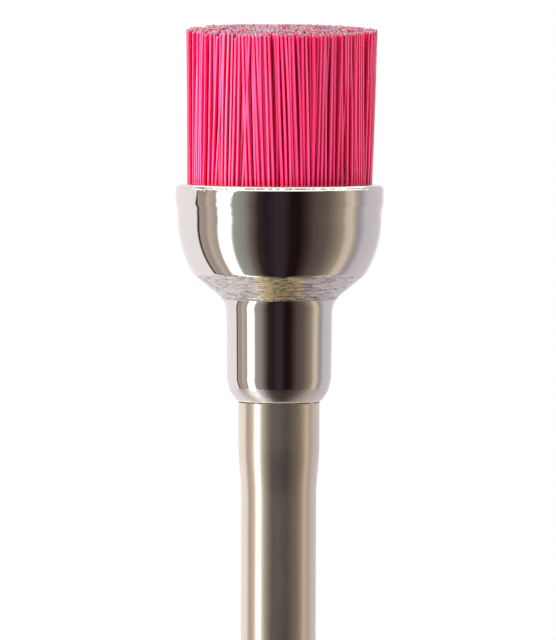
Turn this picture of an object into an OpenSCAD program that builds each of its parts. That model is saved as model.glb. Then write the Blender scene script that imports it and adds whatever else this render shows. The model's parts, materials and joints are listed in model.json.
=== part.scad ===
// Rotary cup brush on a mandrel, for a nail drill.
//
// Sixteen tufts of nylon filament are folded over a wire ring and bedded in resin in a
// turned, plated cup. The cup's collar is crimped round a steel mandrel, and the mandrel's
// tip is riveted over inside the bowl. The whole brush turns as one.
//
// Millimetres. The axis of rotation is Z, +Z runs from the shank to the bristle tips, and
// the origin is the centre of the shank's end face. Outlines are [radius, height] pairs.

/* [Mandrel] */
// Diameter of the shank that the drill's collet grips
shank_d = 2.35; // [1.9:0.05:2.4]
// Length of the shank's full grip, above its end chamfer
shank_len = 28; // [20:0.5:36]
// Chamfer on the shank's free end
shank_chamfer = 0.3; // [0.1:0.05:0.5]
// Diameter of the thicker root, which is also the spigot inside the collar
spigot_d = 2.54; // [2.4:0.02:3.1]
// Length over which the shank swells to the root
swell_len = 1.7; // [0.5:0.1:4]
// Length of the root that shows below the collar
root_len = 1.3; // [0.3:0.1:4]
// Number of grip flutes cut along the spigot
flute_count = 20; // [8:1:28]
// Diameter of the cutter that leaves each flute
flute_d = 0.14; // [0.06:0.02:0.2]
// Diameter of the stem that passes through the bowl's floor
stem_d = 1.4; // [0.8:0.1:1.8]
// Diameter of the riveted head inside the bowl
head_d = 2.2; // [1.9:0.05:2.4]
// Height of the riveted head
head_h = 0.35; // [0.2:0.05:0.45]

/* [Cup] */
// Outside diameter of the cup under its bead
cup_d = 6.38; // [5.3:0.02:8]
// Wall of the bowl
cup_wall = 0.27; // [0.2:0.01:0.35]
// How far the bead stands out from the cup
bead_out = 0.08; // [0.02:0.01:0.15]
// Height of the bead below the rim
bead_h = 0.97; // [0.7:0.01:1.2]
// Height over which the bead swells out from the cup
bead_swell = 0.44; // [0.1:0.01:0.5]
// Height of the straight band under the bead
band_h = 0.12; // [0.04:0.02:1]
// Radius of the bowl's long curve
cheek_r = 3.35; // [2.5:0.05:5]
// Angle from the axis where the long curve ends
cheek_angle = 30; // [20:1:36]
// Radius of the tight corner between that curve and the cone
corner_r = 0.36; // [0.36:0.02:0.8]
// Angle from the axis of the cone under the bowl
cone_angle = 50.5; // [45:0.5:60]
// Radius of the hollow fillet at the neck
neck_r = 0.78; // [0.3:0.02:1]
// Wall of the collar over the mandrel
collar_wall = 0.37; // [0.3:0.01:0.5]
// Length of the collar below the neck
collar_len = 2.76; // [2:0.02:5]
// How much the collar's radius grows from its end to the neck
collar_draft = 0.02; // [0:0.01:0.05]
// Radius of the crimped curve at the collar's end
crimp_r = 1.2; // [0.8:0.1:2]
// Depth of the mandrel's bore above the start of the neck
bore_rise = 0.11; // [0:0.01:0.2]
// Thickness of the floor between the bore and the bowl
web = 0.65; // [0.5:0.05:0.8]

/* [Bristles] */
// Height of the longest bristles above the rim
bristle_h = 5; // [3:0.05:8]
// How far the tips flare out past the mouth of the cup
flare = 0.095; // [0:0.005:0.4]
// Number of folded tufts round the ring
tuft_count = 16; // [8:1:24]
// Width of the slit between tufts at the mouth of the cup
tuft_slit = 0.04; // [0.02:0.01:0.1]
// Radius of the open core where the tufts meet
core_r = 0.12; // [0.08:0.02:0.3]
// Radius of the open eye inside the folds
eye_r = 0.5; // [0.3:0.05:0.9]
// Height above the ring over which the tufts' inner legs close up from the eye
core_rise = 1.3; // [0.8:0.1:1.8]

/* [Anchor ring] */
// Diameter of the ring's wire
wire_d = 0.35; // [0.2:0.01:0.5]
// Gap between the ends of the bent wire
wire_gap = 0.3; // [0.1:0.05:0.6]
// Height of the ring over the bowl's floor
ring_rise = 1.48; // [1.3:0.02:1.7]

/* [Resin] */
// Depth of the resin over the bowl's floor
resin_h = 0.9; // [0.7:0.05:1]

/* [Hidden] */

// Clearances and the least that a feature may be cut down to
mouth_clear = 0.015;  // tufts to the cup's mouth
fold_clear = 0.02;    // folds to the bowl's inside
wire_clear = 0.01;    // folds to the wire in them
crimp_land = 0.02;    // width of the flat left at the crimped end
least_cone = 0.1;     // width of cone that the bowl's tight corner always leaves
head_edge = 0.4;      // share of the riveted head's height that is its upright edge

// Resolution
arc_steps = 12;       // segments along each curved stretch of an outline
$fn = 64;

// Mandrel
shank_r = shank_d / 2;
spigot_r = spigot_d / 2;
stem_r = stem_d / 2;
head_r = head_d / 2;
swell_z = shank_chamfer + shank_len;
root_z = swell_z + swell_len;

// Collar, crimped in at its end
collar_z = root_z + root_len;
collar_r = spigot_r + collar_wall;
crimp_angle = acos(1 - (collar_wall - crimp_land) / crimp_r);
crimp_z = collar_z + crimp_r * sin(crimp_angle);

// Neck
neck_z = collar_z + collar_len;
neck_top_r = collar_r + collar_draft;
cone_z = neck_z + neck_r * sin(cone_angle);
cone_low_r = neck_top_r + neck_r * (1 - cos(cone_angle));

// Bowl. Its tight corner is limited by the width that the cone must keep.
cup_r = cup_d / 2;
cheek_in = cheek_r * (1 - cos(cheek_angle));
corner_used_r = min(
    corner_r,
    (cup_r - cheek_in - cone_low_r - least_cone) / (cos(cheek_angle) - cos(cone_angle))
);
corner_mid_r = cup_r - cheek_in - corner_used_r * cos(cheek_angle);
cone_top_z = cone_z
    + (corner_mid_r + corner_used_r * cos(cone_angle) - cone_low_r) / tan(cone_angle);
corner_mid_z = cone_top_z + corner_used_r * sin(cone_angle);
cheek_z = corner_mid_z - corner_used_r * sin(cheek_angle);
band_z = cheek_z + cheek_r * sin(cheek_angle);

// Bead and rim
bead_z = band_z + band_h;
rim_z = bead_z + bead_h;
mouth_r = cup_r - cup_wall;
bead_r = cup_r + bead_out;
lip_r = (bead_r - mouth_r) / 2;

// Inside of the bowl
cheek_inside_r = cheek_r - cup_wall;
inside_r = corner_used_r - cup_wall;
bore_z = neck_z + bore_rise;
floor_z = bore_z + web;
inner_cone_z = corner_mid_z - inside_r * sin(cone_angle);
floor_r = corner_mid_r + inside_r * cos(cone_angle) - (inner_cone_z - floor_z) * tan(cone_angle);

// Ring and folds. Half of a tuft's filament ends stand inside the ring and half outside,
// so the ring splits the bundle's area in two. A fold is limited by the bowl's inside, at
// its long curve or at the cone.
ring_z = floor_z + ring_rise;
bowl_at_ring_r = cup_r - cheek_r + sqrt(pow(cheek_inside_r, 2) - pow(band_z - ring_z, 2));
ring_r = (bowl_at_ring_r - fold_clear) / sqrt(2);
ring_to_cheek = cheek_inside_r - norm([ring_r - cup_r + cheek_r, ring_z - band_z]);
ring_to_cone = (floor_r - ring_r) * cos(cone_angle) + ring_rise * sin(cone_angle);
fold_r = min(ring_to_cheek, ring_to_cone) - fold_clear;
wire_angle = 2 * asin(wire_gap / 2 / ring_r);

// Tufts
bundle_r = mouth_r - mouth_clear;
tip_r = bundle_r + flare;
tip_z = rim_z + bristle_h;
tuft_pitch = 360 / tuft_count;
slit_angle = 2 * asin(tuft_slit / 2 / bundle_r);

function tuft_name(i) = str("tuft_", i < 10 ? "0" : "", i);

// Points along an arc about mid, from angle a to angle b. r is the radius, or the two
// radii across and along the axis where the arc is part of an ellipse.
function arc(mid, r, a, b) =
    let (across = is_list(r) ? r[0] : r, along = is_list(r) ? r[1] : r)
    [for (i = [0:arc_steps]) let (t = a + (b - a) * i / arc_steps)
        mid + [across * cos(t), along * sin(t)]];

// Points along the smooth swell from radius r1 at height z1 to radius r2 at height z2.
function swell(r1, z1, r2, z2) =
    [for (i = [0:arc_steps]) let (t = i / arc_steps)
        [r1 + (r2 - r1) * (1 - cos(180 * t)) / 2, z1 + (z2 - z1) * t]];

// Outside of the cup, from the crimped end up and over the lip.
function cup_outside() = concat(
    arc([collar_r - crimp_r, crimp_z], crimp_r, -crimp_angle, 0),
    arc([neck_top_r + neck_r, neck_z], neck_r, 180, 180 - cone_angle),
    arc([corner_mid_r, corner_mid_z], corner_used_r, -cone_angle, -cheek_angle),
    arc([cup_r - cheek_r, band_z], cheek_r, -cheek_angle, 0),
    swell(cup_r, bead_z, bead_r, bead_z + bead_swell),
    arc([bead_r - lip_r, rim_z - lip_r], lip_r, 0, 180)
);

// Inside of the bowl, from the mouth down to the floor.
function bowl_inside() = concat(
    arc([cup_r - cheek_r, band_z], cheek_inside_r, 0, -cheek_angle),
    arc([corner_mid_r, corner_mid_z], inside_r, -cheek_angle, -cone_angle),
    [[floor_r, floor_z]]
);

// Riveted head, a low dome on a short upright edge.
function head_outline() = concat(
    [[head_r, floor_z]],
    [for (i = [0:arc_steps]) let (t = 90 * i / arc_steps)
        [head_r * cos(t), floor_z + head_h * (head_edge + (1 - head_edge) * sin(t))]]
);

// Half section of one tuft: a leg up each side of the ring and the fold under it.
module tuft_section() {
    polygon(concat(
        [[core_r, tip_z], [core_r, ring_z + core_rise]],
        arc([ring_r, ring_z], [ring_r - eye_r, fold_r], 180, 270),
        arc([ring_r, ring_z], fold_r, 270, 360),
        [[bundle_r, band_z], [bundle_r, rim_z], [tip_r, tip_z]]
    ));
}

module mandrel() {
    color("silver") difference() {
        rotate_extrude() polygon(concat(
            [[0, 0], [shank_r - shank_chamfer, 0], [shank_r, shank_chamfer]],
            swell(shank_r, swell_z, spigot_r, root_z),
            [[spigot_r, bore_z], [stem_r, bore_z], [stem_r, floor_z]],
            head_outline()
        ));
        for (i = [0:flute_count - 1])
            rotate(360 / flute_count * i) translate([spigot_r, 0, crimp_z])
                cylinder(d = flute_d, h = bore_z - crimp_z);
    }
}

module cup() {
    color("gainsboro") rotate_extrude() polygon(concat(
        cup_outside(),
        bowl_inside(),
        [[stem_r, floor_z], [stem_r, bore_z], [spigot_r, bore_z], [spigot_r, collar_z]]
    ));
}

module anchor_ring() {
    color("goldenrod") rotate(wire_angle / 2) rotate_extrude(angle = 360 - wire_angle)
        translate([ring_r, ring_z]) circle(d = wire_d);
}

module resin() {
    color("khaki") rotate_extrude() difference() {
        intersection() {
            polygon(concat(bowl_inside(), [[0, floor_z], [0, band_z]]));
            translate([0, floor_z]) square([cup_r, resin_h]);
        }
        tuft_section();
        polygon(concat([[0, floor_z]], head_outline()));
    }
}

module tuft(i) {
    color("deeppink") rotate((i - 1) * tuft_pitch + slit_angle / 2)
        rotate_extrude(angle = tuft_pitch - slit_angle) difference() {
            tuft_section();
            translate([ring_r, ring_z]) circle(d = wire_d + 2 * wire_clear);
        }
}

mandrel();
cup();
anchor_ring();
resin();
for (i = [1:tuft_count])
    tuft(i);
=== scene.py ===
# %% [markdown]
# # A rotary cup brush for a nail drill
#
# The brush is a steel mandrel, a plated brass cup and a round bundle of pink nylon
# filaments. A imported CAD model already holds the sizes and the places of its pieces. This
# script loads that model and dresses it: it turns the metal pieces again on a much finer
# lathe, and it gives every filament its own thin tube.

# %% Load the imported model
import json
import math

import bpy
import numpy as np
from mathutils import Matrix, Vector, noise


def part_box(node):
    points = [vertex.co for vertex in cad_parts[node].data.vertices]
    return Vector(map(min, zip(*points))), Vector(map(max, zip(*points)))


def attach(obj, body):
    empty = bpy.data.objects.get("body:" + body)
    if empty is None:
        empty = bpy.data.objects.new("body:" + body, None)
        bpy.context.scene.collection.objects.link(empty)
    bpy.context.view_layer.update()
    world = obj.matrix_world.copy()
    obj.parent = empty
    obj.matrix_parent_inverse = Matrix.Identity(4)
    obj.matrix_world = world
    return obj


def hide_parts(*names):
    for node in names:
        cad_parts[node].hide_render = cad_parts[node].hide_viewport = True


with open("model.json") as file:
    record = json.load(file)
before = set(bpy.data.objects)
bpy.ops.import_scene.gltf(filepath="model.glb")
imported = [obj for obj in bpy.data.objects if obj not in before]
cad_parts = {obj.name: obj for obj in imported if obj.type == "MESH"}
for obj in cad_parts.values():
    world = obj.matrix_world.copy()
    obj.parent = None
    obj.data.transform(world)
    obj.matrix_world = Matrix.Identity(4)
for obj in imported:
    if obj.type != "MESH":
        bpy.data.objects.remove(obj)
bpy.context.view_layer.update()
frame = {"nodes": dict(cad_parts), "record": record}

MM = 0.001

# %% [markdown]
# ## Sizes that come from the model
#
# Blender works in metres here, but a brush this small is easier to think about in
# millimetres. So the sizes are read in millimetres, the shapes are worked out in them, and
# each mesh is turned into metres when it is made. The names below are the model's heights
# and radii that the finer pieces have to meet.

# %% Read the heights and radii


def heights(node):
    """The lowest and highest point of a CAD node, in mm."""
    low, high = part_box(node)
    return low.z / MM, high.z / MM


def reach(node):
    """How far a CAD node reaches from the brush's axis, in mm."""
    corners = frame["nodes"][node].data.vertices
    return max(math.hypot(corner.co.x, corner.co.y) for corner in corners) / MM


collar_z, rim_z = heights("cup")
shank_z, rivet_z = heights("mandrel")
ring_z = sum(heights("anchor_ring")) / 2
tip_z = heights("tuft_01")[1]
bead_r = reach("cup")
spigot_r = reach("mandrel")
tip_r = reach("tuft_01")
gripped = frame["record"]["mounts"][0]["dims"]  # the shank, as the drill's collet grips it
shank_r = gripped["r_mm"]
shank_len = gripped["length_mm"]
print(f"collar {collar_z:.2f}, rim {rim_z:.2f}, tips {tip_z:.2f}, bead radius {bead_r:.3f}")

# %% [markdown]
# ## The camera
#
# A small object looks flat and technical when it is seen from far away through a long lens.
# The camera stands 200 mm off and only a little above the level of the cup, so the rim is a
# very thin ellipse. The brush leans a fraction of a degree, which is a roll of the camera.

# %% Place the camera
SEEN_HEIGHT = 20.05  # height of the picture at the brush, in mm
STAND_OFF = 200  # distance of the camera, in mm
SENSOR = 36
LOOK_DOWN = 2.3  # degrees
ROLL = 0.18  # degrees
AIM_SIDE, AIM_DROP = -0.04, 4.27  # where it looks, mm from the axis and below the rim
aim = Vector((AIM_SIDE, 0, rim_z - AIM_DROP)) * MM

lens = bpy.data.cameras.new("long_lens")
lens.sensor_width = SENSOR
lens.lens = SENSOR * STAND_OFF / SEEN_HEIGHT
lens.clip_start = 0.01
camera = bpy.data.objects.new("camera", lens)
bpy.context.scene.collection.objects.link(camera)
tilt = math.radians(LOOK_DOWN)
camera.location = aim + Vector((0, -math.cos(tilt), math.sin(tilt))) * STAND_OFF * MM
turn = Matrix.Rotation(math.pi / 2 - tilt, 3, "X") @ Matrix.Rotation(math.radians(ROLL), 3, "Z")
camera.rotation_euler = turn.to_euler()
bpy.context.scene.camera = camera
bpy.context.scene.view_settings.view_transform = "Standard"
print(f"lens {lens.lens:.0f} mm")

# %% [markdown]
# ## Writing shaders as sums
#
# A shader is a web of nodes, and a web is hard to read as code. `Wire` holds one output of
# one node. Adding or multiplying wires makes the Math node that does it, so a mask can be
# written as `1 - mask`. Every other node comes from the `node` method, which sets the node's
# settings first and then its sockets.

# %% Wrap a socket so that it can be used in sums


class Wire:
    """One output of a shader node."""

    def __init__(self, tree, socket=None):
        self.tree = tree
        self.socket = socket

    def node(self, kind, settings=None, values=None, out=0):
        """Adds a node. Settings come first, then the values or wires of its sockets."""
        made = self.tree.nodes.new(kind)
        for name, value in (settings or {}).items():
            if name == "stops":
                self.fill_ramp(made.color_ramp, value)
            else:
                setattr(made, name, value)
        for key, value in (values or {}).items():
            if isinstance(value, Wire):
                self.tree.links.new(value.socket, made.inputs[key])
            else:
                made.inputs[key].default_value = value
        return Wire(self.tree, made.outputs[out] if made.outputs else None)

    @staticmethod
    def fill_ramp(ramp, stops):
        """Sets a ramp's stops, given as (place, colour) in rising order."""
        while len(ramp.elements) < len(stops):
            ramp.elements.new(1)
        for element, (place, colour) in zip(ramp.elements, stops):
            element.position = place
            element.color = (*colour, 1)

    def out(self, name):
        """Another output of the same node."""
        return Wire(self.tree, self.socket.node.outputs[name])

    def math(self, operation, *numbers):
        return self.node("ShaderNodeMath", {"operation": operation}, dict(enumerate(numbers)))

    def __add__(self, other):
        return self.math("ADD", self, other)

    def __sub__(self, other):
        return self.math("SUBTRACT", self, other)

    def __rsub__(self, other):
        return self.math("SUBTRACT", other, self)

    def __mul__(self, other):
        return self.math("MULTIPLY", self, other)

    def __truediv__(self, other):
        return self.math("DIVIDE", self, other)

    __radd__ = __add__
    __rmul__ = __mul__

    def step(self, start, end, low=0, high=1):
        """Rises smoothly from low to high as this value goes from start to end."""
        values = {0: self, 1: start, 2: end, 3: low, 4: high}
        return self.node("ShaderNodeMapRange", {"interpolation_type": "SMOOTHSTEP"}, values)

    def blend(self, first, second):
        """Colour that goes from first to second as this value goes from 0 to 1."""
        settings = {"data_type": "RGBA", "clamp_factor": True}
        return self.node("ShaderNodeMix", settings, {0: self, 6: first, 7: second}, out=2)


def new_finish(name):
    """An empty material, and a wire to start its nodes from."""
    finish = bpy.data.materials.new(name)
    finish.use_nodes = True
    finish.node_tree.nodes.clear()
    return finish, Wire(finish.node_tree)


# %% [markdown]
# ## The studio
#
# Polished metal has no look of its own. It shows the room. Here the room is a white
# backdrop behind the brush, one narrow strip light to its left, a cream board to its right,
# a softbox overhead and darkness behind the camera. Real cards and lamps would get in the
# way of every other view, so the room is painted on the world instead, as a ring of tones
# that depends only on direction. The camera itself sees plain white.
#
# Each tone has an angle from the camera, positive to the right, a brightness and a tint.
# The black line near -105 is the edge of the backdrop. A round piece shows it as a fine dark
# line, about four fifths of the way from its middle to its left edge.

# %% Paint the room on the world
WHITE = (1.0, 1.0, 1.0)
PAPER = (1.0, 0.955, 0.99)
LILAC = (1.0, 0.93, 1.02)
TAUPE = (1.0, 0.84, 0.74)
GREY = (1.0, 0.985, 0.95)
UMBER = (1.0, 0.76, 0.67)
VIOLET = (1.0, 0.72, 0.92)
SOOT = (1.0, 0.55, 0.50)
OLIVE = (1.0, 0.83, 0.65)
CREAM = (1.0, 0.85, 0.68)
ROOM = [
    (-180, 1.0, PAPER), (-150, 0.95, PAPER), (-107.2, 0.97, PAPER), (-106.2, 0.010, SOOT),
    (-103.2, 0.010, SOOT), (-102.2, 0.44, TAUPE), (-92, 0.38, TAUPE), (-87, 0.60, TAUPE),
    (-75, 0.42, TAUPE), (-70.8, 2.4, WHITE), (-59.5, 2.4, WHITE), (-54, 0.40, GREY),
    (-40, 0.28, GREY), (-33, 0.17, UMBER), (-24, 0.035, UMBER), (-15, 0.020, VIOLET),
    (-2, 0.040, VIOLET), (6, 0.034, VIOLET), (13, 0.014, SOOT), (23, 0.013, SOOT),
    (31, 0.050, SOOT), (40, 0.095, UMBER), (54, 0.14, UMBER), (65, 0.23, OLIVE),
    (76, 0.39, OLIVE), (81, 0.64, CREAM), (89, 0.73, CREAM), (95, 0.48, TAUPE),
    (101, 0.37, LILAC), (114, 0.62, LILAC), (150, 0.68, LILAC), (180, 1.0, PAPER),
]
ROOM_LEAN = 10.8  # degrees that the strips lean towards the camera at their feet
SOFTBOX = (1.35, 1.35, 1.35, 1)
SOFTBOX_EDGE = (0.36, 0.40)  # height at which the softbox starts


def paint_room():
    room = bpy.data.worlds.new("studio")
    bpy.context.scene.world = room
    room.use_nodes = True
    room.node_tree.nodes.clear()
    start = Wire(room.node_tree)
    direction = start.node("ShaderNodeTexCoord", out="Generated")
    parts = start.node("ShaderNodeSeparateXYZ", values={0: direction})
    across = parts.out("X")
    toward = parts.out("Y") * -1
    up = parts.out("Z")
    lean = math.radians(ROOM_LEAN)
    level = toward * math.cos(lean) - up * math.sin(lean)
    height = up * math.cos(lean) + toward * math.sin(lean)
    circle = start.math("ARCTAN2", across, level) / math.tau + 0.5
    stops = [((angle + 180) / 360, [bright * part for part in tint]) for angle, bright, tint in ROOM]
    ring = start.node("ShaderNodeValToRGB", {"stops": stops}, {0: circle})
    light = height.step(*SOFTBOX_EDGE).blend(ring, SOFTBOX)
    lit = start.node("ShaderNodeBackground", values={"Color": light})
    paper = start.node("ShaderNodeBackground", values={"Color": (1, 1, 1, 1)})
    seen = start.node("ShaderNodeLightPath", out="Is Camera Ray")
    mixed = start.node("ShaderNodeMixShader", values={0: seen, 1: lit, 2: paper})
    start.node("ShaderNodeOutputWorld", values={"Surface": mixed})
    room.cycles.sampling_method = "MANUAL"
    room.cycles.sample_map_resolution = 2048


paint_room()
print(len(ROOM), "tones round the room")

# %% [markdown]
# ## Soft lamps and the floor
#
# The filaments are not mirrors: they need light that falls on them. Three soft lamps do
# that: a strong one from the left, a faint one from the right and a weak one from behind.
# They are hidden from reflections, so that they don't put square patches on the metal. The
# floor is a pale disc that fades to white. It is hidden from reflections too, so that the
# strips of the room run on below its level in the metal.

# %% Hang the lamps and lay the floor
LAMPS = [  # name, degrees round from the camera, degrees up, size and distance in mm, watts
    ("key", -66, 22, 80, 170, 0.54),
    ("fill", 48, 14, 90, 190, 0.03),
    ("back", 165, 40, 90, 190, 0.12),
]
FLOOR_R = 120
FLOOR_FADE = (20, 85)  # radius where the disc starts to fade, and where it is white, in mm
FLOOR_GREY = (0.92, 0.92, 0.92, 1)


def hang_lamp(name, round_by, up_by, size, distance, watts):
    lamp = bpy.data.lights.new(name, "AREA")
    lamp.size = size * MM
    lamp.energy = watts
    hung = bpy.data.objects.new(name, lamp)
    bpy.context.scene.collection.objects.link(hung)
    way, rise = math.radians(round_by), math.radians(up_by)
    away = Vector((math.sin(way) * math.cos(rise), -math.cos(way) * math.cos(rise), math.sin(rise)))
    hung.location = Vector((0, 0, rim_z * MM)) + away * distance * MM
    hung.rotation_euler = away.to_track_quat("Z", "Y").to_euler()
    hung.visible_glossy = False
    hung.visible_camera = False


def lay_floor():
    mesh = bpy.data.meshes.new("floor")
    ring = [(FLOOR_R * math.cos(t) * MM, FLOOR_R * math.sin(t) * MM, 0)
            for t in np.linspace(0, math.tau, 96, endpoint=False)]
    mesh.from_pydata(ring, [], [range(len(ring))])
    floor = bpy.data.objects.new("floor", mesh)
    bpy.context.scene.collection.objects.link(floor)
    finish, start = new_finish("pale_floor")
    place = start.node("ShaderNodeNewGeometry", out="Position")
    radius = start.node("ShaderNodeVectorMath", {"operation": "LENGTH"}, {0: place}, out="Value")
    fade = radius.step(FLOOR_FADE[0] * MM, FLOOR_FADE[1] * MM)
    matt = start.node("ShaderNodeBsdfDiffuse", values={"Color": FLOOR_GREY})
    white = start.node("ShaderNodeEmission", values={"Color": (1, 1, 1, 1)})
    mixed = start.node("ShaderNodeMixShader", values={0: fade, 1: matt, 2: white})
    start.node("ShaderNodeOutputMaterial", values={"Surface": mixed})
    mesh.materials.append(finish)
    floor.visible_glossy = False


for lamp in LAMPS:
    hang_lamp(*lamp)
lay_floor()
print(len(LAMPS), "lamps and a floor of", FLOOR_R, "mm radius")

# %% [markdown]
# ## A lathe
#
# Both metal pieces are turned, so both are an outline spun round the axis. An outline is a
# list of points, each a radius and a height in millimetres, made of arcs and soft swells. It
# is then cut into short steps, shorter where the detail is fine.

# %% Outlines: arcs, swells and short steps


def arc(middle, radius, start, end, steps):
    """Points of an outline along an arc, with angles in degrees."""
    turns = np.radians(np.linspace(start, end, steps + 1))
    return [(middle[0] + radius * math.cos(t), middle[1] + radius * math.sin(t)) for t in turns]


def swell(low, high, steps=24):
    """Points of an outline along a smooth swell between two (radius, height) points."""
    (r1, z1), (r2, z2) = low, high
    shares = np.linspace(0, 1, steps + 1)
    return [(r1 + (r2 - r1) * (1 - math.cos(math.pi * t)) / 2, z1 + (z2 - z1) * t) for t in shares]


def short_steps(outline, longest):
    """The outline with no step longer than longest(radius, height)."""
    points = [outline[0]]
    for (r1, z1), (r2, z2) in zip(outline, outline[1:]):
        length = math.hypot(r2 - r1, z2 - z1)
        if length < 1e-6:
            continue
        pieces = math.ceil(length / longest((r1 + r2) / 2, (z1 + z2) / 2))
        points += [(r1 + (r2 - r1) * k / pieces, z1 + (z2 - z1) * k / pieces)
                   for k in range(1, pieces + 1)]
    return points


# %% [markdown]
# Blender's Screw modifier can spin an outline, but it can't mark the surface as it goes. This
# lathe places each point itself, so a piece can add nicks, flutes and tool marks to its
# outline at any angle. `ripple` is the noise that makes those marks irregular. It is read on
# a circle, so it meets itself again after a full turn.

# %% The lathe itself
ON_AXIS = 1e-6  # mm, a radius that counts as the axis


def angle_from_front(theta):
    """Degrees round from the camera's side, positive to the right."""
    return math.degrees(math.atan2(math.cos(theta), -math.sin(theta)))


def turned(name, outline, sides, mark):
    """Spins an outline into a mesh, lifted by mark(angle from front, theta, radius, height).

    The outline runs up the outside. Where it starts or ends on the axis, it closes in one
    point, and otherwise its last point joins its first.
    """
    closed = outline[0][0] > 0 and outline[-1][0] > 0
    rings = np.array(outline)
    ahead, behind = np.roll(rings, -1, 0), np.roll(rings, 1, 0)
    if not closed:
        ahead[-1], behind[0] = rings[-1], rings[0]
    along = ahead - behind
    out = np.stack([along[:, 1], -along[:, 0]], 1)
    out /= np.maximum(np.linalg.norm(out, axis=1, keepdims=True), 1e-9)
    points, starts = [], []
    for (r, z), (out_r, out_z) in zip(rings, out):
        starts.append(len(points))
        if r < ON_AXIS:
            points.append((0, 0, z * MM))
            continue
        for k in range(sides):
            theta = math.tau * k / sides
            lift = mark(angle_from_front(theta), theta, r, z)
            far = (r + out_r * lift) * MM
            points.append((far * math.cos(theta), far * math.sin(theta), (z + out_z * lift) * MM))
    faces = []
    count = len(rings)
    for i in range(count if closed else count - 1):
        j = (i + 1) % count
        for k in range(sides):
            n = (k + 1) % sides
            low = [starts[i]] if rings[i][0] < ON_AXIS else [starts[i] + k, starts[i] + n]
            high = [starts[j]] if rings[j][0] < ON_AXIS else [starts[j] + n, starts[j] + k]
            faces.append(low + high)
    mesh = bpy.data.meshes.new(name)
    mesh.from_pydata(points, [], faces)
    mesh.shade_smooth()
    piece = bpy.data.objects.new(name, mesh)
    bpy.context.scene.collection.objects.link(piece)
    return piece


def ripple(theta, z, round_by, up_by, seed=0):
    """Smooth noise from -1 to 1 that closes on itself round the brush."""
    across = (math.cos(theta) * round_by, math.sin(theta) * round_by, z * up_by + seed)
    return noise.noise(across)


def smooth(value, start, end):
    """0 before start, 1 after end, and a smooth rise between."""
    share = min(max((value - start) / (end - start), 0), 1)
    return share * share * (3 - 2 * share)


# %% [markdown]
# ## The cup
#
# The cup is one piece of brass: a bar is turned to a bowl and a collar, bored from below,
# nickel plated and crimped round the mandrel. The outline repeats the CAD outline, arc by
# arc, from the crimped end of the collar to the lip and down inside the bowl to the bore. It
# starts at the collar's height in the model, so it has to end at the rim's height, and the
# cell prints how far off it is.

# %% The cup's outline
CUP_R, CUP_WALL = 3.19, 0.27
BAND_H, BEAD_H, BEAD_SWELL = 0.12, 0.97, 0.44
CHEEK_R, CHEEK_ANGLE = 3.35, 30
CORNER_R, CONE_ANGLE = 0.36, 50.5
NECK_R, COLLAR_WALL, COLLAR_LEN, COLLAR_DRAFT = 0.78, 0.37, 2.76, 0.02
CRIMP_R, CRIMP_LAND = 1.2, 0.02
BORE_RISE, WEB, STEM_R = 0.11, 0.65, 0.7
GAP_W, GAP_H = 0.016, 0.07  # crack between the crimped edge and the mandrel


def cosd(angle):
    return math.cos(math.radians(angle))


def sind(angle):
    return math.sin(math.radians(angle))


collar_r = spigot_r + COLLAR_WALL
crimp_angle = math.degrees(math.acos(1 - (COLLAR_WALL - CRIMP_LAND) / CRIMP_R))
neck_z = collar_z + COLLAR_LEN
neck_top_r = collar_r + COLLAR_DRAFT
cone_low = (neck_top_r + NECK_R * (1 - cosd(CONE_ANGLE)), neck_z + NECK_R * sind(CONE_ANGLE))
corner_mid_r = CUP_R - CHEEK_R * (1 - cosd(CHEEK_ANGLE)) - CORNER_R * cosd(CHEEK_ANGLE)
cone_rise = (corner_mid_r + CORNER_R * cosd(CONE_ANGLE) - cone_low[0]) / math.tan(
    math.radians(CONE_ANGLE))
corner_mid_z = cone_low[1] + cone_rise + CORNER_R * sind(CONE_ANGLE)
band_z = corner_mid_z + (CHEEK_R - CORNER_R) * sind(CHEEK_ANGLE)
bead_z = band_z + BAND_H
bore_z = neck_z + BORE_RISE
floor_z = bore_z + WEB
inside_r = CORNER_R - CUP_WALL
inner_cone = (corner_mid_r + inside_r * cosd(CONE_ANGLE), corner_mid_z - inside_r * sind(CONE_ANGLE))
bowl_floor_r = inner_cone[0] - (inner_cone[1] - floor_z) * math.tan(math.radians(CONE_ANGLE))
mouth_r = CUP_R - CUP_WALL
lip_r = (bead_r - mouth_r) / 2

cup_outside = (
    arc((collar_r - CRIMP_R, collar_z + CRIMP_R * sind(crimp_angle)), CRIMP_R, -crimp_angle, 0, 24)
    + arc((neck_top_r + NECK_R, neck_z), NECK_R, 180, 180 - CONE_ANGLE, 30)
    + arc((corner_mid_r, corner_mid_z), CORNER_R, -CONE_ANGLE, -CHEEK_ANGLE, 16)
    + arc((CUP_R - CHEEK_R, band_z), CHEEK_R, -CHEEK_ANGLE, 0, 40)
    + swell((CUP_R, bead_z), (bead_r, bead_z + BEAD_SWELL))
    + arc((bead_r - lip_r, rim_z - lip_r), lip_r, 0, 180, 36)
)
cup_inside = (
    arc((CUP_R - CHEEK_R, band_z), CHEEK_R - CUP_WALL, 0, -CHEEK_ANGLE, 16)
    + arc((corner_mid_r, corner_mid_z), inside_r, -CHEEK_ANGLE, -CONE_ANGLE, 4)
    + [(bowl_floor_r, floor_z), (STEM_R, floor_z), (STEM_R, bore_z), (spigot_r, bore_z),
       (spigot_r, collar_z + GAP_H), (spigot_r + GAP_W, collar_z)]
)
print(f"outline ends {bead_z + BEAD_H - rim_z:+.4f} mm from the rim")

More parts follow.
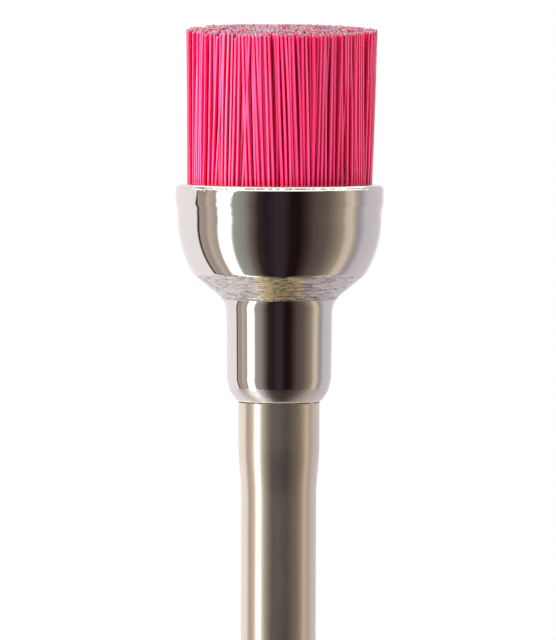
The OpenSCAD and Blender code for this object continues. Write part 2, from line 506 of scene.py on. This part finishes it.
# %% [markdown]
# ## Marks on the cup
#
# The plating is a mirror except where a tool or a hand has been. The lip was rolled over, so
# below it runs a ragged little ledge, and there are nicks and a broken line in it. The hollow
# under the bowl is as the form tool left it, full of rings, because a polishing wheel can't
# reach in there. The crimped end is puckered by the jaws that closed it. The marks are cut
# into the mesh and not only painted on, so that their edges catch the light. They are three
# thousandths of a millimetre deep on the crimp, twelve in the hollow and up to sixty-four in
# the lip, where a nick adds to the lean of the lip itself.

# %% Marks: lip, hollow and crimp
HOLLOW_RISE = 3.19  # from the collar's end to the foot of the hollow
HOLLOW_LOW = collar_z + HOLLOW_RISE
HOLLOW_HIGH = corner_mid_z - CORNER_R * sind(CONE_ANGLE - 6)
HOLLOW_SINK = 0.006  # keeps the marks inside the model's outline
LIP_LEAN, LIP_TALL = 0.13, 0.13  # slope of the lip above the ledge, and how far up it goes
LEDGE_DROP, LEDGE_STEP = 0.262, 0.012  # height of the ledge below the rim, and its depth
LEDGE_TILT = 0.024  # how far the ledge rises towards the right
BAND_RIPPLE = 0.00015  # just enough to make the mirror below the ledge waver
LINE_DROP, LINE_SPREAD, LINE_DEPTH = 0.108, 0.026, 0.018  # the broken line below the rim
NICK_HEIGHT = 0.04
JAW_HEIGHT = 0.6  # of the collar's end, where the jaws pressed
NICKS = [  # degrees from the front, width in degrees, height below the rim, depth in mm
    (-50, 3, 0.10, 0.035), (-47, 1.5, 0.17, 0.03), (-33, 2.5, 0.13, 0.04), (-29, 1.6, 0.20, 0.035),
    (-25, 1.3, 0.12, 0.02), (28, 2, 0.22, 0.012), (71, 4, 0.15, 0.020), (118, 3, 0.18, 0.02),
    (165, 5, 0.16, 0.024), (-140, 4, 0.14, 0.026), (-96, 3, 0.19, 0.018),
]


def lip_marks(front, theta, z):
    """A lean above a wavy ledge, a drop below it, a broken line near the top, nicks."""
    wave = 0.012 * ripple(theta, 0, 6, 0, 3) + 0.005 * ripple(theta, 0, 22, 0, 8)
    ledge = rim_z - LEDGE_DROP + wave + LEDGE_TILT * math.cos(theta)
    above, top = z - ledge, rim_z - z
    lift = -LIP_LEAN * min(max(above, 0), LIP_TALL)
    lift -= LEDGE_STEP * smooth(-above, 0, LEDGE_STEP)
    fade = smooth(-above, 0, 0.03) * (1 - smooth(-above, 0.1, 0.35))
    lift += BAND_RIPPLE * fade * ripple(theta, z, 9, 14, 5)
    broken = smooth(ripple(theta, 0, 26, 0, 1) + 0.5 * ripple(theta, 0, 7, 0, 2), -0.25, 0.25)
    lift -= LINE_DEPTH * broken * math.exp(-((top - LINE_DROP) / LINE_SPREAD) ** 2)
    for centre, width, drop, depth in NICKS:
        turn = (front - centre) / width
        fall = (top - drop) / NICK_HEIGHT
        if abs(turn) < 3 and abs(fall) < 3:
            lift -= depth * math.exp(-turn * turn - fall * fall)
    return lift


def hollow_marks(theta, z):
    """Rings and pits between the foot of the hollow and the bowl's corner."""
    inside = smooth(z, HOLLOW_LOW, HOLLOW_LOW + 0.03) * (
        1 - smooth(z, HOLLOW_HIGH - 0.03, HOLLOW_HIGH))
    rings = 0.005 * ripple(theta, z, 1.6, 17) + 0.004 * ripple(theta, z, 4, 30, 7)
    pits = 0.002 * ripple(theta, z, 9, 20, 2)
    return inside * (rings + pits - HOLLOW_SINK)


def cup_marks(front, theta, r, z):
    """The marks of whichever part of the cup a point lies on."""
    if z > rim_z - 0.8 and r > mouth_r + 0.05:
        return lip_marks(front, theta, z)
    if HOLLOW_LOW < z < HOLLOW_HIGH and r > neck_top_r:
        return hollow_marks(theta, z)
    if z < collar_z + JAW_HEIGHT and r > spigot_r + 0.03:
        pucker = ripple(theta, z, 5, 3, 4) + 0.35 * ripple(theta, z, 14, 8, 9)
        return 0.0035 * pucker * (1 - smooth(z, collar_z + 0.12, collar_z + 0.5))
    return 0


# %% [markdown]
# The steps of the outline have to be short where there are marks, and they may be long in the
# bore and inside the bowl, where nobody can see them. That keeps the mesh light.

# %% Turn the cup
WORKED_LIP = 0.32  # height of the lip that needs short steps
CUP_SIDES = 360


def cup_step(r, z):
    """Longest step of the cup's outline at a point, in mm."""
    if z > rim_z - WORKED_LIP and r > mouth_r:
        return 0.014
    if HOLLOW_LOW < z < HOLLOW_HIGH + 0.1 and r > neck_top_r:
        return 0.02
    if z < collar_z + JAW_HEIGHT and r > spigot_r + 0.03:
        return 0.03
    return 0.12 if r > collar_r and z < rim_z - WORKED_LIP else 0.4


cup = turned("plated_cup", short_steps(cup_outside + cup_inside, cup_step), CUP_SIDES, cup_marks)
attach(cup, "root")
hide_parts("cup")
print("cup:", len(cup.data.polygons), "faces")

# %% [markdown]
# ## What every finish starts from
#
# All the finishes need the same few things: where a point lies round the axis, how high it
# is, noise that has no seam, and a bump made from such noise. They start from a point's place
# in the room, because the brush stands upright on the origin and nothing in it moves.

# %% Parts that every finish uses


def round_axis(start):
    """Where a point is round the axis, as a unit vector, and its height in mm."""
    place = start.node("ShaderNodeNewGeometry", out="Position")
    parts = start.node("ShaderNodeSeparateXYZ", values={0: place})
    flat = start.node("ShaderNodeCombineXYZ", values={0: parts, 1: parts.out("Y")})
    unit = start.node("ShaderNodeVectorMath", {"operation": "NORMALIZE"}, {0: flat})
    return unit, parts.out("Z") / MM


def grain(start, unit, height, round_by, up_by, detail=3):
    """Noise from 0 to 1 that closes on itself round the axis."""
    sides = start.node("ShaderNodeSeparateXYZ", values={0: unit})
    place = start.node("ShaderNodeCombineXYZ", values={
        0: sides * round_by, 1: sides.out("Y") * round_by, 2: height * up_by})
    return start.node("ShaderNodeTexNoise", values={
        "Vector": place, "Scale": 1.0, "Detail": detail, "Roughness": 0.55})


def bumped(start, relief, depth, strength):
    """A normal that follows relief, with depth in mm."""
    return start.node("ShaderNodeBump", values={
        "Strength": strength, "Distance": depth * MM, "Height": relief})


def put_on(start, values):
    """The piece's one surface shader and its output."""
    surface = start.node("ShaderNodeBsdfPrincipled", values=values)
    start.node("ShaderNodeOutputMaterial", values={"Surface": surface})


# %% [markdown]
# ## Nickel plate on brass
#
# Nickel is a slightly warm grey mirror. What keeps it from looking like a drawing is that no
# part of it is perfectly clean: its roughness drifts, hairlines cross it, and in the hollow
# the plate is thin and dull, with the yellow of the brass showing through in front. The lip's
# groove is painted dark in front and over the patches at the back, the crimping jaws left a
# satin end, and a cream highlight is painted along its very edge. A few masks, each named for
# the place that it covers, turn all of that on.

# %% The cup's finish
NICKEL = (0.80, 0.775, 0.735, 1)
DULL_NICKEL = (0.74, 0.70, 0.675, 1)
TARNISH = (0.26, 0.225, 0.20, 1)
GROOVE_DARK = (0.10, 0.02, 0.03, 1)
CREAM_GLINT = (0.85, 0.74, 0.52, 1)
BRASS = (0.78, 0.58, 0.26, 1)


def bare_brass(start, unit, height, front, worn_back):
    """Where the plate is worn through: a frayed strip in front and patches at the back."""
    frayed = grain(start, unit, height, 7, 9) * 0.09 + front
    flecks = grain(start, unit, height, 9, 24).step(0.36, 0.56)
    return start.math("MAXIMUM", frayed.step(0.98, 1.015), worn_back) * flecks


def darken_groove(start, unit, height, front, worn_back):
    """Paints the lip's groove dark, in front and over the patches at the back."""
    groove = height.step(rim_z - 0.135, rim_z - 0.12) * (
        1 - height.step(rim_z - 0.095, rim_z - 0.08))
    dirty = start.math("MAXIMUM", front.step(0.86, 0.93), worn_back)
    return groove * dirty * grain(start, unit, height, 15, 3, 2).step(0.46, 0.54)


def cup_relief(start, unit, height, hollow, crimp):
    """Rings and gouges in the hollow, and hairlines that are strongest on the crimp."""
    rings = grain(start, unit, height, 3, 26, 4)
    gouges = grain(start, unit, height, 4.5, 20, 3).step(0.32, 0.48)
    hairs = grain(start, unit, height, 9, 60, 2)
    return hollow * (rings + gouges * 1.6) + crimp * hairs * 0.4 + hairs * 0.03


def plated_brass():
    finish, start = new_finish("plated_brass")
    unit, height = round_axis(start)
    front = 0 - start.node("ShaderNodeSeparateXYZ", values={0: unit}).out("Y")
    ragged = height + grain(start, unit, height, 7, 0.5) * 0.08
    hollow = height.step(HOLLOW_LOW, HOLLOW_LOW + 0.02) * (
        1 - ragged.step(HOLLOW_HIGH + 0.02, HOLLOW_HIGH + 0.04))
    crimp = 1 - ragged.step(collar_z + 0.42, collar_z + 0.54)
    # A painted highlight: a cream, less metallic line along the very edge of the crimped end,
    # standing in for a reflection.
    edge = 1 - ragged.step(collar_z + 0.06, collar_z + 0.09)
    worn_back = grain(start, unit, height, 2.2, 0.6).step(0.60, 0.70)
    bare = bare_brass(start, unit, height, front, worn_back) * hollow
    # The lip's groove is painted dark, less metallic and rougher, in front and over the patches at
    # the back.
    dark_groove = darken_groove(start, unit, height, front, worn_back)
    scratches = grain(start, unit, height, 6, 22, 4).step(0.50, 0.62) * hollow * (1 - bare * 0.25)
    plate = bare.blend(hollow.blend(NICKEL, DULL_NICKEL), BRASS)
    scratched = (scratches * 0.65).blend(plate, TARNISH)
    colour = (edge * 0.8).blend((dark_groove * 0.9).blend(scratched, GROOVE_DARK), CREAM_GLINT)
    smear = grain(start, unit, height, 5, 2).step(0.35, 0.75)
    roughness = hollow * 0.24 + crimp * 0.26 + smear * 0.03 + 0.03
    relief = cup_relief(start, unit, height, hollow, crimp)
    put_on(start, {"Base Color": colour, "Metallic": 1 - bare * 0.24 - dark_groove * 0.6 - edge * 0.4,
                   "Roughness": roughness + dark_groove * 0.3,
                   "Normal": bumped(start, relief, 0.014, 1.0)})
    return finish


cup.data.materials.append(plated_brass())
print("cup finished in", len(cup.data.materials), "material")

# %% [markdown]
# ## The mandrel
#
# The mandrel is a plated steel rod: a chamfered end, 28 mm of plain shank for the drill's
# collet, a slow swell to a thicker root, then a fluted spigot inside the collar, a stem
# through the bowl's floor and a riveted head over it. Only the shank and the root can be
# seen. It is turned on the same lathe as the cup, and the flutes are one of its marks.

# %% Turn the mandrel
CHAMFER, SWELL_LEN = 0.3, 1.7
RIVET_R, RIVET_EDGE = 1.1, 0.4
FLUTES, FLUTE_R = 20, 0.07
FACING_DEPTH, FACING_RINGS = 0.003, 60  # tool rings on the flat end
MANDREL_SIDES = 240
swell_z = CHAMFER + shank_len
root_z = swell_z + SWELL_LEN
rivet_h = rivet_z - floor_z
crimp_z = collar_z + CRIMP_R * sind(crimp_angle)
rivet_rise = rivet_h * (1 - RIVET_EDGE)
rivet = [(RIVET_R * cosd(t), rivet_z - rivet_rise * (1 - sind(t))) for t in range(0, 90, 6)]
mandrel_outline = (
    [(0, shank_z), (shank_r - CHAMFER, shank_z), (shank_r, shank_z + CHAMFER)]
    + swell((shank_r, swell_z), (spigot_r, root_z))
    + [(spigot_r, crimp_z), (spigot_r, bore_z), (STEM_R, bore_z), (STEM_R, floor_z),
       (RIVET_R, floor_z)]
    + rivet + [(0, rivet_z)]
)


def mandrel_marks(front, theta, r, z):
    """Flutes round the spigot and fine rings on the flat end."""
    if crimp_z < z < bore_z and r > spigot_r - 0.01:
        pitch = math.tau / FLUTES
        across = spigot_r * ((theta + pitch / 2) % pitch - pitch / 2)
        return -math.sqrt(max(FLUTE_R ** 2 - across ** 2, 0))
    if z < 0.001 and r < shank_r - CHAMFER:
        return FACING_DEPTH * (math.sin(r * FACING_RINGS) - 1)
    return 0


def mandrel_step(r, z):
    """Longest step of the mandrel's outline at a point."""
    if z < 0.01 or z > crimp_z - 0.01:
        return 0.05
    return 0.35


mandrel_rings = short_steps(mandrel_outline, mandrel_step)
mandrel = turned("plated_mandrel", mandrel_rings, MANDREL_SIDES, mandrel_marks)
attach(mandrel, "root")
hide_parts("mandrel")
print("mandrel:", len(mandrel.data.polygons), "faces")

# %% [markdown]
# The mandrel was ground and not polished. It shows the same bands of light as the cup, but
# they run into each other, so its nickel is rougher. It is also warmer, with fine lines along
# it and a dark ring of painted shadow where it goes into the collar.

# %% The mandrel's finish
SHANK_NICKEL = (0.84, 0.74, 0.61, 1)
COLLAR_SHADOW = (0.03, 0.022, 0.015, 1)


def plated_steel():
    finish, start = new_finish("plated_steel")
    unit, height = round_axis(start)
    lines = grain(start, unit, height, 60, 0.05, 2)
    drift = grain(start, unit, height, 4, 0.12)
    handled = grain(start, unit, height, 6, 0.8, 4).step(0.55, 0.8)
    # A painted shadow: a dark, rougher ring just below the collar's end, where the collar overhangs
    # the mandrel.
    shadow_ring = height.step(collar_z - 0.05, collar_z - 0.02) * (
        grain(start, unit, height, 9, 2).step(0.30, 0.45))
    roughness = 0.215 + drift * 0.05 + handled * 0.015 + shadow_ring * 0.3
    plate = (drift * 0.25).blend(SHANK_NICKEL, DULL_NICKEL)
    colour = (shadow_ring * 0.9).blend(plate, COLLAR_SHADOW)
    put_on(start, {"Base Color": colour, "Metallic": 0.975 - handled * 0.02,
                   "Roughness": roughness, "Normal": bumped(start, lines, 0.004, 0.35)})
    return finish


mandrel.data.materials.append(plated_steel())
print("mandrel finished in", len(mandrel.data.materials), "material")

# %% [markdown]
# ## Where the filaments stand
#
# A tuft is a sheaf of nylon filaments bent double over the wire ring in the cup, so each
# filament shows two ends: one inside the ring's circle and one outside it. Scattering ends
# at random leaves holes and collisions. Here they start at random and are then pushed apart
# a little at a time, like coins on a tray, until they fill their tuft's slice evenly.

# %% Scatter the ends and push them apart
FILAMENT_D = 0.11
FOLDED = 46  # filaments in a tuft, each with two ends
SLIT = 0.04  # between tufts at the mouth of the cup
CORE_R, CORE_GAP = 0.12, 0.03  # an empty core, and the least gap that ends keep from it
WALL_GAP = 0.015  # between the bundle and the cup's wall
FOOT_SPACING, FOOT_ROUNDS = 0.142, 70  # mm between feet, and how often they are pushed
PUSH = 0.35  # share of an overlap that each push takes away
NO_NEIGHBOUR = 9  # mm, so that no filament pushes itself
bundle_r = mouth_r - WALL_GAP
tuft_names = sorted(name for name in frame["nodes"] if name.startswith("tuft_"))
tuft_pitch = math.tau / len(tuft_names)


def push_apart(places, spacing, rounds, keep):
    """Moves points that are closer than spacing away from each other, then applies keep."""
    for _ in range(rounds):
        gaps = places[:, None, :] - places[None, :, :]
        distance = np.linalg.norm(gaps, axis=2)
        np.fill_diagonal(distance, NO_NEIGHBOUR)
        close = np.clip(spacing - distance, 0, None)
        shove = (gaps / distance[:, :, None] * close[:, :, None]).sum(1)
        places = keep(places + shove * PUSH)
    return places


def in_slices(places):
    """Holds each end in its own tuft's slice of the mouth."""
    nearest, furthest = CORE_R + CORE_GAP, bundle_r - FILAMENT_D / 2
    radius = np.clip(np.linalg.norm(places, axis=1), nearest, furthest)
    angle = np.arctan2(places[:, 1], places[:, 0])
    middle = (tuft_of + 0.5) * tuft_pitch
    off = (angle - middle + math.pi) % math.tau - math.pi
    edge = (SLIT + FILAMENT_D) / 2 / radius
    room = np.clip(tuft_pitch / 2 - edge, 0, None)
    angle = middle + np.clip(off, -room, room)
    return np.stack([radius * np.cos(angle), radius * np.sin(angle)], 1)


draw = np.random.default_rng(11)
tuft_of = np.repeat(np.arange(len(tuft_names)), 2 * FOLDED)
far = np.sqrt(draw.uniform(CORE_R ** 2, bundle_r ** 2, len(tuft_of)))
way = (tuft_of + draw.uniform(0, 1, len(tuft_of))) * tuft_pitch
at_mouth = in_slices(np.stack([far * np.cos(way), far * np.sin(way)], 1))
at_mouth = push_apart(at_mouth, FOOT_SPACING, FOOT_ROUNDS, in_slices)
print(len(at_mouth), "ends in", len(tuft_names), "tufts")

# %% [markdown]
# ## How the filaments lean
#
# Above the cup the bundle opens out slightly. Tufts lean against each other, so a dark wedge
# opens here and closes there, and single filaments wander a degree or so and cross their
# neighbours. The tips start above their own feet, and the ones that would overlap are then
# pushed apart again. The cut is slightly domed and slopes down to the front by a third of a
# millimetre. It is also rough: it dips and rises across the bundle, and some filaments stand
# lower than the rest.

# %% Find the tips
BUNDLE_LEAN = 0.05  # mm to the right over the bristles' height
WANDER = 0.052  # mm, how far single tips stray
TIP_SPACING, TIP_ROUNDS = FILAMENT_D * 1.02, 12
DOME = 0.13  # mm that the cut falls from the middle to the edge
SLANT_MIDDLE, SLANT = 0.04, 0.17  # mm below the top in the middle, and how much more in front
WAVES, ROUGH_CUT = 0.06, 0.022  # mm
SHORT_SHARE, SHORT_BY = 0.05, (0.05, 0.20)  # filaments that stand lower, and how much in mm
CUT_RANGE = (0.004, 0.5)  # least and most depth of a tip below the top, in mm
TUFT_LEAN = [  # mm that each tuft leans round the brush, anticlockwise from above
    0.04, 0.01, 0.06, 0.02, 0.07, 0.04, 0.02, 0.06,
    0.05, 0.14, 0.18, -0.20, -0.22, -0.06, -0.24, -0.05,
]
flare = (tip_r - FILAMENT_D / 2) / (bundle_r - FILAMENT_D / 2)
tuft_way = (np.arange(len(tuft_names)) + 0.5) * tuft_pitch
tuft_lean = np.stack([-np.sin(tuft_way), np.cos(tuft_way)], 1) * np.array(TUFT_LEAN)[:, None]


def under_edge(places):
    """Holds the tips inside the round of the bundle."""
    radius = np.linalg.norm(places, axis=1)
    most = tip_r - FILAMENT_D / 2
    return places * np.minimum(1, most / np.maximum(radius, 1e-9))[:, None]


at_tip = at_mouth * flare + tuft_lean[tuft_of] + draw.normal(0, WANDER, at_mouth.shape)
at_tip = push_apart(under_edge(at_tip), TIP_SPACING, TIP_ROUNDS, under_edge)
at_tip[:, 0] += BUNDLE_LEAN

dome = DOME * (np.linalg.norm(at_tip, axis=1) / tip_r) ** 2
slant = SLANT_MIDDLE - SLANT * at_tip[:, 1] / tip_r
waves = np.array([noise.noise((x * 1.3, y * 1.3, 4.2)) + 0.5 * noise.noise((x * 4, y * 4, 9.1))
                  for x, y in at_tip])
cut_low = dome + slant - WAVES * waves + draw.exponential(ROUGH_CUT, len(at_tip))
short = draw.uniform(0, 1, len(at_tip)) < SHORT_SHARE
cut_low[short] += draw.uniform(*SHORT_BY, short.sum())
tip_height = tip_z - np.clip(cut_low, *CUT_RANGE)
print(f"tips from {tip_height.min():.2f} to {tip_height.max():.2f} mm")

# %% [markdown]
# ## One folded filament
#
# The path of a filament runs down from its inner tip, opens to the eye inside the ring,
# turns under the ring and climbs to its outer tip. Filaments that stand near the ring's
# circle turn tightly and the others turn wide, so that they lie in layers, one outside the
# other. A curve object with a bevel could draw it, but a mesh tube is lighter and lets each
# point carry the filament's own shade.

# %% The path and the tube
WIRE_R, EYE_R = 0.175, 0.5
WIRE_GAP = 0.01  # between the ring's wire and the innermost folds
ring_r = reach("anchor_ring") - WIRE_R
fold_r = ring_z - heights("tuft_01")[0]
SIDES = 6
NEAR_CUT = (0.009, 0.017)  # two short steps below a cut end, where its shade fades out
IN_BOWL = (0.3, 0.6, 0.85)  # steps from the mouth of the cup down to the ring
LEG_STEPS, FOLD_STEPS = 6, 8
BEVEL, CUT_FACE = 0.25, 0.72  # height of a cut end's bevel and width of its face, in radii


def leg(tip, mouth, at_ring, bend):
    """Points from a tip down to the ring's height."""
    points = []
    for t in [0, *NEAR_CUT, *np.linspace(0, 1, LEG_STEPS + 1)[1:]]:
        flat = tip[:2] + (mouth - tip[:2]) * t + bend * math.sin(math.pi * t)
        points.append([*flat, tip[2] + (rim_z - tip[2]) * t])
    for t in IN_BOWL:
        points.append([*(mouth + (at_ring - mouth) * smooth(t, 0, 1)), rim_z + (ring_z - rim_z) * t])
    return points


def folded_path(inner, outer, layer, bends):
    """Points of a filament from inner tip to outer tip. layer is 0 at the wire, 1 outside."""
    least, most = WIRE_R + FILAMENT_D / 2 + WIRE_GAP, fold_r - FILAMENT_D / 2
    inward = least + (ring_r - EYE_R - FILAMENT_D / 2 - least) * layer
    outward = least + (most - least) * layer
    turns = [math.atan2(end["mouth"][1], end["mouth"][0]) for end in (inner, outer)]
    swing = (turns[1] - turns[0] + math.pi) % math.tau - math.pi
    fold = []
    for k in range(FOLD_STEPS + 1):
        t = k / FOLD_STEPS
        reach_out = ring_r - math.cos(math.pi * t) * (inward if t < 0.5 else outward)
        angle = turns[0] + swing * smooth(t, 0, 1)
        drop = math.sin(math.pi * t) * outward
        fold.append([reach_out * math.cos(angle), reach_out * math.sin(angle), ring_z - drop])
    down = leg(inner["tip"], inner["mouth"], np.array(fold[0][:2]), bends[0])
    up = leg(outer["tip"], outer["mouth"], np.array(fold[-1][:2]), bends[1])
    return np.array(down + fold + up[::-1])


def tube(path, radius, slants):
    """Rings of points round a path, with a small bevel at each cut end."""
    along = np.gradient(path, axis=0)
    along /= np.linalg.norm(along, axis=1, keepdims=True)
    radial = path * [1, 1, 0]
    sideways = np.cross([0, 0, 1], radial / np.linalg.norm(radial, axis=1, keepdims=True))
    sideways -= along * (sideways * along).sum(1, keepdims=True)
    sideways /= np.linalg.norm(sideways, axis=1, keepdims=True)
    other = np.cross(along, sideways)
    around = np.linspace(0, math.tau, SIDES, endpoint=False)
    circle = sideways[:, None] * np.cos(around)[:, None] + other[:, None] * np.sin(around)[:, None]
    rings = path[:, None] + circle * radius
    ends = []
    for at, slant in ((0, slants[0]), (-1, slants[1])):
        tilt_up = (np.cos(around - slant[0]) - 1) * slant[1] * radius
        rings[at, :, 2] += tilt_up - radius * BEVEL
        end = path[at] + circle[at] * radius * CUT_FACE
        end[:, 2] += tilt_up * CUT_FACE
        ends.append(end)
    return np.concatenate([ends[0][None], rings, ends[1][None]])


# %% [markdown]
# ## Sixteen sheaves
#
# Each tuft is one mesh with forty-six folded tubes. Two values are stored on its points for
# the finish to read: `shade`, one random number for each filament, and `cut`, which is 1 on
# a cut end and fades out below it.

# %% Bind the tufts
COLUMNS = 6  # filaments side by side in a layer
BEND = 0.012  # mm that single filaments bow
CUT_SHADE = [1, 1, 0.65]  # the cut's value on the end, its edge and the first short step


def slice_turn(tuft):
    """Turns a point so that its tuft's slice lies along the second axis."""
    angle = (tuft + 0.5) * tuft_pitch
    return np.array([[-math.sin(angle), math.cos(angle)], [math.cos(angle), math.sin(angle)]])


def pairs(members):
    """Joins a tuft's inner ends to its outer ends, layer by layer."""
    radius = np.linalg.norm(at_mouth[members], axis=1)
    order = members[np.argsort(radius)]
    inner, outer = order[:FOLDED][::-1], order[FOLDED:]
    joined = []
    for first in range(0, FOLDED, COLUMNS):
        block = [ends[first:first + COLUMNS] for ends in (inner, outer)]
        ranked = [sorted(ends, key=lambda end: math.atan2(
            *(at_mouth[end] @ slice_turn(tuft_of[end])))) for ends in block]
        joined += list(zip(*ranked))
    return joined


def bind_tuft(index, name):
    """One mesh of folded filaments, with their shades and cut ends stored on its points."""
    points, shades, cuts, faces = [], [], [], []
    for rank, (inner, outer) in enumerate(pairs(np.flatnonzero(tuft_of == index))):
        ends = [{"tip": np.array([*at_tip[e], tip_height[e]]), "mouth": at_mouth[e]}
                for e in (inner, outer)]
        bends = draw.normal(0, BEND, (2, 2))
        path = folded_path(*ends, (rank + 0.5) / FOLDED, bends)
        slants = np.stack([draw.uniform(0, math.tau, 2), draw.uniform(0, 0.5, 2)], 1)
        rings = tube(path, FILAMENT_D / 2, slants)
        base, count = len(points), len(rings)
        points += list(rings.reshape(-1, 3))
        shades += [draw.uniform()] * count * SIDES
        cut = CUT_SHADE + [0] * (count - 2 * len(CUT_SHADE)) + CUT_SHADE[::-1]
        cuts += list(np.repeat(cut, SIDES))
        for i in range(count - 1):
            for k in range(SIDES):
                n = (k + 1) % SIDES
                low, high = base + i * SIDES, base + (i + 1) * SIDES
                faces.append([low + k, low + n, high + n, high + k])
        last = base + (count - 1) * SIDES
        faces.append(list(range(base + SIDES - 1, base - 1, -1)))
        faces.append(list(range(last, last + SIDES)))
    mesh = bpy.data.meshes.new(name)
    mesh.from_pydata(np.array(points) * MM, [], faces)
    for label, values in (("shade", shades), ("cut", cuts)):
        mesh.attributes.new(label, "FLOAT", "POINT").data.foreach_set("value", values)
    mesh.shade_smooth()
    mesh.set_sharp_from_angle(angle=math.radians(50))
    tuft = bpy.data.objects.new(name, mesh)
    bpy.context.scene.collection.objects.link(tuft)
    return tuft


tufts = []
for index, node in enumerate(tuft_names):
    tuft = bind_tuft(index, node.replace("tuft", "bristles"))
    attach(tuft, "root")
    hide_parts(node)
    tufts.append(tuft)
print(len(tufts), "tufts,", sum(len(tuft.data.polygons) for tuft in tufts), "faces")

# %% [markdown]
# ## Nylon
#
# The filaments are dyed nylon, lit from the left. The dye takes almost no red light, so
# light that bounces from one filament to the next keeps its red and loses the rest. That is
# why the gaps are a deep red instead of black. On a real filament a lamp draws a pale line
# down the side that faces it. The lamps here are hidden from reflections, so the finish
# paints that line instead, on the face that each filament turns outward. A cut end is paler
# and greyer, because the cut scatters light.

# %% The filaments' finish
# PALE_PINK and HOT_PINK colour the painted highlight line; CRIMSON is the dye's own colour.
PALE_PINK = (0.86, 0.145, 0.31, 1)
HOT_PINK = (0.77, 0.055, 0.175, 1)
CRIMSON = (0.71, 0.006, 0.07, 1)
CUT_PINK = (0.38, 0.235, 0.275, 1)
CUT_DARK = (0.18, 0.095, 0.125, 1)


def nylon():
    finish, start = new_finish("pink_nylon")
    shade = start.node("ShaderNodeAttribute", {"attribute_name": "shade"}, out="Fac")
    cut = start.node("ShaderNodeAttribute", {"attribute_name": "cut"}, out="Fac")
    unit, height = round_axis(start)
    streak = grain(start, unit, height, 40, 0.4, 2)
    normal = start.node("ShaderNodeNewGeometry", out="Normal")
    outward = start.node("ShaderNodeVectorMath", {"operation": "DOT_PRODUCT"},
                         {0: normal, 1: unit}, out="Value")
    # A painted highlight: the pale line on the face that each filament turns outward.
    face = outward.step(0.80, 0.985)
    # Painted shade: near the cup's lip the painted highlight is made fainter, as the lowest part of
    # the bristles lies in shade.
    foot = 1 - height.step(rim_z, rim_z + 0.25)
    line = (shade * 0.8 + streak * 0.3).blend(PALE_PINK, HOT_PINK)
    dye_and_painted_light = (face * (1 - foot * 0.5)).blend(CRIMSON, line)
    speckle = grain(start, unit, height, 30, 30).step(0.35, 0.6)
    ends = speckle.blend(CUT_DARK, CUT_PINK)
    colour = cut.blend(dye_and_painted_light, ends)
    roughness = 0.14 + streak * 0.10 + cut * 0.4
    drawn = grain(start, unit, height, 260, 0.6, 1)
    put_on(start, {"Base Color": colour, "Roughness": roughness,
                   "Normal": bumped(start, drawn, 0.003, 0.25),
                   "Subsurface Weight": 0.2, "Subsurface Scale": 0.05 * MM,
                   "Subsurface Radius": (1.0, 0.15, 0.2), "IOR": 1.53})
    return finish


pink = nylon()
for tuft in tufts:
    tuft.data.materials.append(pink)
print(len(tufts), "tufts finished in", pink.name)

# %% [markdown]
# ## Inside the cup
#
# The wire ring and the resin can't be seen, and their CAD shapes are right, so they stay.
# They still get true finishes, for anyone who takes the brush apart: drawn brass wire with
# fine lengthways lines, and amber resin with a faint swirl from mixing.

# %% Finish the ring and the resin
DARK_BRASS = (0.55, 0.36, 0.15, 1)
DEEP_AMBER = (0.42, 0.27, 0.08, 1)
PALE_AMBER = (0.70, 0.52, 0.24, 1)


def brass_wire():
    finish, start = new_finish("brass_wire")
    unit, height = round_axis(start)
    drawn = grain(start, unit, height, 3, 90, 2)
    colour = drawn.step(0.3, 0.8).blend(BRASS, DARK_BRASS)
    put_on(start, {"Base Color": colour, "Metallic": 1.0, "Roughness": 0.24 + drawn * 0.12,
                   "Normal": bumped(start, drawn, 0.004, 0.4)})
    return finish


def amber_resin():
    finish, start = new_finish("amber_resin")
    unit, height = round_axis(start)
    swirl = grain(start, unit, height, 2.5, 3, 5)
    colour = swirl.blend(DEEP_AMBER, PALE_AMBER)
    put_on(start, {"Base Color": colour, "Roughness": 0.18 + swirl * 0.15,
                   "Normal": bumped(start, swirl, 0.02, 0.3), "Coat Weight": 0.4})
    return finish


for node, finish in (("anchor_ring", brass_wire()), ("resin", amber_resin())):
    held = frame["nodes"][node].material_slots[0]
    held.link = "OBJECT"
    held.material = finish
print("ring and resin finished")
